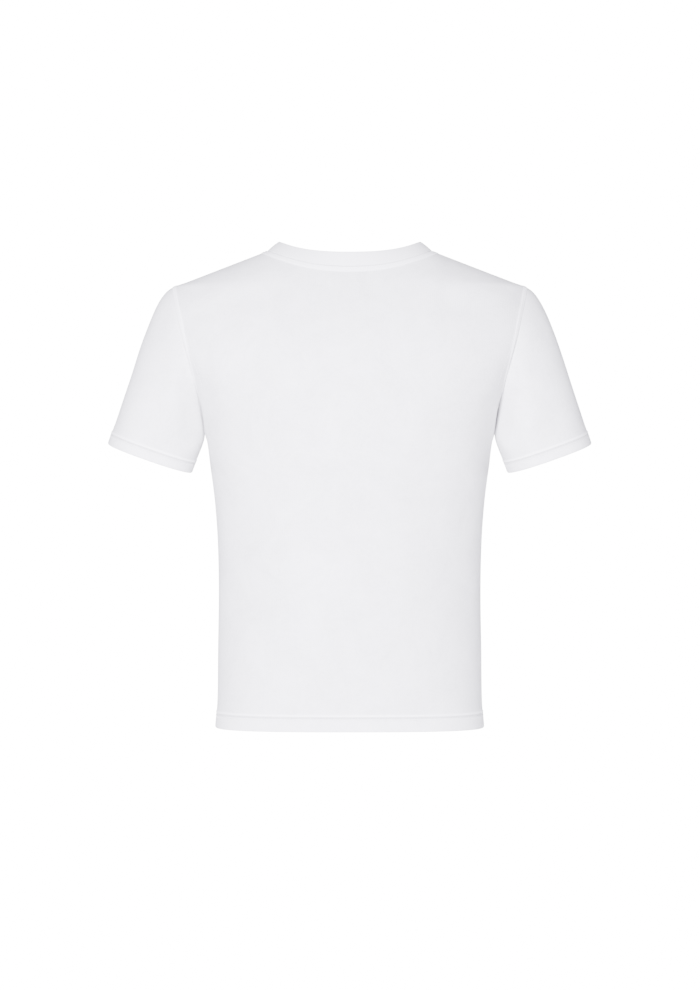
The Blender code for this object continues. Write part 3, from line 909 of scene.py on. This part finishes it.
def white_cotton_jersey():
    """Combed-cotton single jersey, knitted, bleached and washed: a matt white with fine upright wales.

    One layer lets some light through, so it looks whiter where it lies double, at hems and seams.
    """
    material, tree = new_material("white combed-cotton single jersey")
    cloth = add(tree, "ShaderNodeUVMap", uv_map="cloth")
    space = add(tree, "ShaderNodeTexCoord")
    # Real wales stand 0.8 mm apart, too fine to show, so they are drawn 2.3 mm apart.
    wales = add(
        tree,
        "ShaderNodeTexWave",
        {"Scale": wave_scale(2.3), "Distortion": 1.1, "Detail": 2.0, "Detail Scale": 3.0},
        {"Vector": (cloth, "UV")},
        bands_direction="X",
    )
    courses = add(
        tree,
        "ShaderNodeTexWave",
        {"Scale": wave_scale(2.0), "Distortion": 1.4, "Detail": 2.0, "Detail Scale": 2.0},
        {"Vector": (cloth, "UV")},
        bands_direction="Y",
    )
    # Uneven yarn, in flecks about 3 mm across.
    yarn = add(tree, "ShaderNodeTexNoise", {"Scale": 340.0, "Detail": 3.0}, {"Vector": (space, "Object")})
    # Clouds about 50 mm across, with smaller ones in them down to 3 mm: the tone is darker and lighter at
    # random.
    clouds = add(
        tree,
        "ShaderNodeTexNoise",
        {"Scale": 19.0, "Detail": 6.0, "Roughness": 0.80, "Distortion": 0.4},
        {"Vector": (space, "Object")},
    )
    knit = add(tree, "ShaderNodeMath", {1: 0.45}, {0: (courses, "Fac")}, operation="MULTIPLY")
    knit = add(tree, "ShaderNodeMath", {}, {0: (knit, "Value"), 1: (wales, "Fac")}, operation="ADD")
    height = add(tree, "ShaderNodeMath", {}, {0: (knit, "Value"), 1: (yarn, "Fac")}, operation="ADD")
    relief = {"Strength": 0.35, "Distance": 0.0002}
    bump = add(tree, "ShaderNodeBump", relief, {"Height": (height, "Value")})
    span = {"From Min": 0.28, "From Max": 0.72}
    cloudy = add(tree, "ShaderNodeMapRange", span, {"Value": (clouds, "Fac")})
    tones = {"Color1": linear("#d3d3d3"), "Color2": linear("#ebebeb")}
    tone = add(tree, "ShaderNodeMixRGB", tones, {"Fac": (cloudy, "Result")})
    span = {"From Min": 0.35, "From Max": 0.75, "To Max": 0.5}
    flecked = add(tree, "ShaderNodeMapRange", span, {"Value": (yarn, "Fac")})
    tone = mixed_in(tree, "#e9e9e9", tone, flecked, "Result")
    # Where the cloth lies double it is whiter, and where a needle row draws it in its shade is painted
    # darker.
    doubled_and_painted_shade = add(tree, "ShaderNodeAttribute", attribute_name="doubled_and_painted_shade")
    tone = mixed_in(tree, "#fcfcfc", tone, doubled_and_painted_shade, "Fac")
    # Painted shade: below 0 the attribute mixes in #b4b4b4, for the shadow in a needle row's groove.
    span = {"From Min": -1.0, "From Max": 0.0, "To Min": 1.0, "To Max": 0.0}
    drawn_in = add(tree, "ShaderNodeMapRange", span, {"Value": (doubled_and_painted_shade, "Fac")})
    tone = mixed_in(tree, "#b4b4b4", tone, drawn_in, "Result")
    cotton_surface(tree, tone, bump)
    return material


def white_cotton_rib():
    """Cotton and elastane 1x1 rib, bleached: matt white, its ribs upright round the neck and deeper."""
    material, tree = new_material("white cotton 1x1 rib")
    cloth = add(tree, "ShaderNodeUVMap", uv_map="cloth")
    space = add(tree, "ShaderNodeTexCoord")
    # Real ribs stand 1.2 mm apart, and are drawn 2.4 mm apart.
    ribs = add(
        tree,
        "ShaderNodeTexWave",
        {"Scale": wave_scale(2.4), "Distortion": 0.5, "Detail": 1.0},
        {"Vector": (cloth, "UV")},
        bands_direction="X",
    )
    yarn = add(tree, "ShaderNodeTexNoise", {"Scale": 420.0, "Detail": 3.0}, {"Vector": (space, "Object")})
    height = add(tree, "ShaderNodeMath", {}, {0: (ribs, "Fac"), 1: (yarn, "Fac")}, operation="ADD")
    relief = {"Strength": 0.5, "Distance": 0.0003}
    bump = add(tree, "ShaderNodeBump", relief, {"Height": (height, "Value")})
    tones = {"Color1": linear("#e6e6e6"), "Color2": linear("#ececec")}
    tone = add(tree, "ShaderNodeMixRGB", tones, {"Fac": (ribs, "Fac")})
    cotton_surface(tree, tone, bump)
    return material


def white_sewing_thread():
    """Spun-polyester sewing thread: brighter and slightly glossier than the cloth, with a fine twist."""
    material, tree = new_material("white spun-polyester thread")
    space = add(tree, "ShaderNodeTexCoord")
    # The twist of the plies, about 0.6 mm long.
    twist = add(tree, "ShaderNodeTexNoise", {"Scale": 1600.0, "Detail": 1.0}, {"Vector": (space, "Object")})
    bump = add(tree, "ShaderNodeBump", {"Strength": 0.4, "Distance": 0.0001}, {"Height": (twist, "Fac")})
    tones = {"Color1": linear("#ededed"), "Color2": linear("#f6f6f6")}
    tone = add(tree, "ShaderNodeMixRGB", tones, {"Fac": (twist, "Fac")})
    shader = add(
        tree,
        "ShaderNodeBsdfPrincipled",
        {"Roughness": 0.6, "Sheen Weight": 0.1},
        {"Base Color": (tone, "Color"), "Normal": (bump, "Normal")},
    )
    add(tree, "ShaderNodeOutputMaterial", {}, {"Surface": (shader, "BSDF")})
    return material


def studio_floor():
    """Matt white painted board: an even pale grey-white with barely visible roller marks."""
    material, tree = new_material("matt white painted board")
    space = add(tree, "ShaderNodeTexCoord")
    # Roller marks about 60 mm across.
    marks = add(tree, "ShaderNodeTexNoise", {"Scale": 16.0, "Detail": 2.0}, {"Vector": (space, "Object")})
    tones = {"Color1": linear("#e9e9e9"), "Color2": linear("#ededed")}
    tone = add(tree, "ShaderNodeMixRGB", tones, {"Fac": (marks, "Fac")})
    shader = add(tree, "ShaderNodeBsdfPrincipled", {"Roughness": 0.85}, {"Base Color": (tone, "Color")})
    add(tree, "ShaderNodeOutputMaterial", {}, {"Surface": (shader, "BSDF")})
    return material


# ---- Studio ----

AMBIENT = 0.2  # strength of the even light on the shirt
BACKDROP = 17.0  # strength of the white seen round it
FLOOR_RADIUS, FLOOR_LEVEL = 1.2, -1.0
MIDDLE = (0.0, 0.0, -0.27)  # of the shirt

def floor():
    """A pale round floor, well below the hem, since the shirt stands as it does on a wearer."""
    bm = bmesh.new()
    bmesh.ops.create_circle(bm, cap_ends=True, segments=96, radius=FLOOR_RADIUS)
    bmesh.ops.translate(bm, verts=bm.verts, vec=(0.0, 0.0, FLOOR_LEVEL))
    mesh_object("floor", bm, studio_floor(), smooth=False)


def aim(thing, place, target):
    """Puts a camera or a light at a place, turned to a target."""
    thing.location = place
    thing.rotation_euler = (Vector(target) - Vector(place)).to_track_quat("-Z", "Y").to_euler()


def softbox(name, place, target, size, power):
    """A square softbox, whose white is a little cool."""
    light = bpy.data.lights.new(name, "AREA")
    light.shape = "SQUARE"
    light.size = size
    light.color = linear("#f4f2ff")[:3]
    light.energy = power
    aim(link(name, light), place, target)


def surroundings():
    """A white studio: bright round the shirt, and a dimmer even light on it."""
    world = bpy.data.worlds.new("studio")
    bpy.context.scene.world = world
    world.use_nodes = True
    tree = world.node_tree
    tree.nodes.clear()
    path = add(tree, "ShaderNodeLightPath")
    span = {"To Min": AMBIENT, "To Max": BACKDROP}
    strength = add(tree, "ShaderNodeMapRange", span, {"Value": (path, "Is Camera Ray")})
    white = add(tree, "ShaderNodeBackground", {}, {"Strength": (strength, "Result")})
    white.inputs["Color"].default_value = linear("#ffffff")
    add(tree, "ShaderNodeOutputWorld", {}, {"Surface": (white, "Background")})


def camera():
    """The view from behind, level with the middle of the back."""
    lens = bpy.data.cameras.new("camera")
    lens.lens = 119.2
    lens.sensor_width = 36.0
    eye = link("camera", lens)
    aim(eye, (-0.0003, 3.6, -0.268), (-0.0003, 0.0, -0.268))
    bpy.context.scene.camera = eye


# ---- The shirt ----

# Creases by x and height. Those of a sleeve are given as for the one at +X.
BACK_CREASES = (
    Crease(0.066, -0.085, 88.0, 0.040, 0.010, -0.0008),
    Crease(-0.078, -0.105, 84.0, 0.055, 0.011, -0.0010),
    Crease(0.140, -0.050, -20.0, 0.060, 0.015, 0.0024),
    Crease(-0.136, -0.050, 20.0, 0.058, 0.016, 0.0026),
    Crease(-0.125, -0.090, -10.0, 0.052, 0.022, 0.0020),
    Crease(0.150, -0.168, 70.0, 0.030, 0.008, -0.0012),
    Crease(-0.150, -0.172, 112.0, 0.026, 0.008, -0.0010),
    Crease(-0.120, -0.365, 60.0, 0.040, 0.016, -0.0008),
)
FRONT_CREASES = (
    Crease(0.072, -0.120, 82.0, 0.050, 0.011, -0.0009),
    Crease(-0.064, -0.100, 95.0, 0.040, 0.010, -0.0007),
    Crease(-0.128, -0.150, 66.0, 0.030, 0.009, -0.0010),
    Crease(0.140, -0.165, 108.0, 0.028, 0.008, -0.0011),
    Crease(0.110, -0.380, 120.0, 0.045, 0.016, -0.0008),
)
LEFT_SLEEVE_CREASES = SleeveCreases(
    back=(
        Crease(0.1770, -0.146, 92.0, 0.030, 0.0085, -0.0016),
        Crease(0.1740, -0.186, 94.0, 0.022, 0.0080, -0.0016),
        Crease(0.1900, -0.120, 70.0, 0.030, 0.0120, -0.0008),
        Crease(0.2250, -0.175, 82.0, 0.030, 0.0140, -0.0006),
    ),
    front=(
        Crease(0.1760, -0.150, 88.0, 0.028, 0.0080, -0.0015),
        Crease(0.1960, -0.135, 66.0, 0.028, 0.0110, -0.0009),
        Crease(0.2180, -0.170, 96.0, 0.026, 0.0120, -0.0006),
    ),
)
RIGHT_SLEEVE_CREASES = SleeveCreases(
    back=(
        Crease(0.1760, -0.142, 84.0, 0.026, 0.0075, -0.0014),
        Crease(0.1700, -0.182, 96.0, 0.020, 0.0070, -0.0012),
        Crease(0.1960, -0.110, 62.0, 0.028, 0.0120, -0.0007),
        Crease(0.2200, -0.165, 98.0, 0.028, 0.0130, -0.0006),
    ),
    front=(
        Crease(0.1770, -0.144, 94.0, 0.030, 0.0080, -0.0014),
        Crease(0.1920, -0.160, 74.0, 0.024, 0.0100, -0.0010),
        Crease(0.2230, -0.150, 88.0, 0.024, 0.0120, -0.0005),
    ),
)

jersey, rib, thread = white_cotton_jersey(), white_cotton_rib(), white_sewing_thread()
back, back_surface = panel_sheet("back_panel_jersey", BACK, BACK_CREASES, 3.0, jersey, "back_panel")
front, front_surface = panel_sheet("front_panel_jersey", FRONT, FRONT_CREASES, 17.0, jersey, "front_panel")
band = neckband_sheet("neckband_rib", rib, "neckband")
lines = sleeve_lines(SLEEVE_COLUMNS)
left, left_surface = sleeve_sheet(
    "sleeve_left_jersey", LEFT, lines, LEFT_SLEEVE_CREASES, 29.0, jersey, "sleeve_left"
)
right, right_surface = sleeve_sheet(
    "sleeve_right_jersey", RIGHT, lines, RIGHT_SLEEVE_CREASES, 41.0, jersey, "sleeve_right"
)
back_rows = panel_stitches("back_panel_stitches", BACK, back_surface, thread)
front_rows = panel_stitches("front_panel_stitches", FRONT, front_surface, thread)
left_rows = cuff_stitches("sleeve_left_stitches", LEFT, lines, left_surface, thread)
right_rows = cuff_stitches("sleeve_right_stitches", RIGHT, lines, right_surface, thread)

floor()
surroundings()
softbox("key", (0.33, 2.4, 0.14), (0.0, 0.0, -0.20), size=0.8, power=436.0)
softbox("rim_left", (2.0, -1.3, -0.2), MIDDLE, size=0.8, power=75.0)
softbox("rim_right", (-2.0, -1.3, -0.2), MIDDLE, size=0.8, power=98.0)
softbox("front", (-0.4, -3.2, 0.3), MIDDLE, size=2.4, power=280.0)
camera()
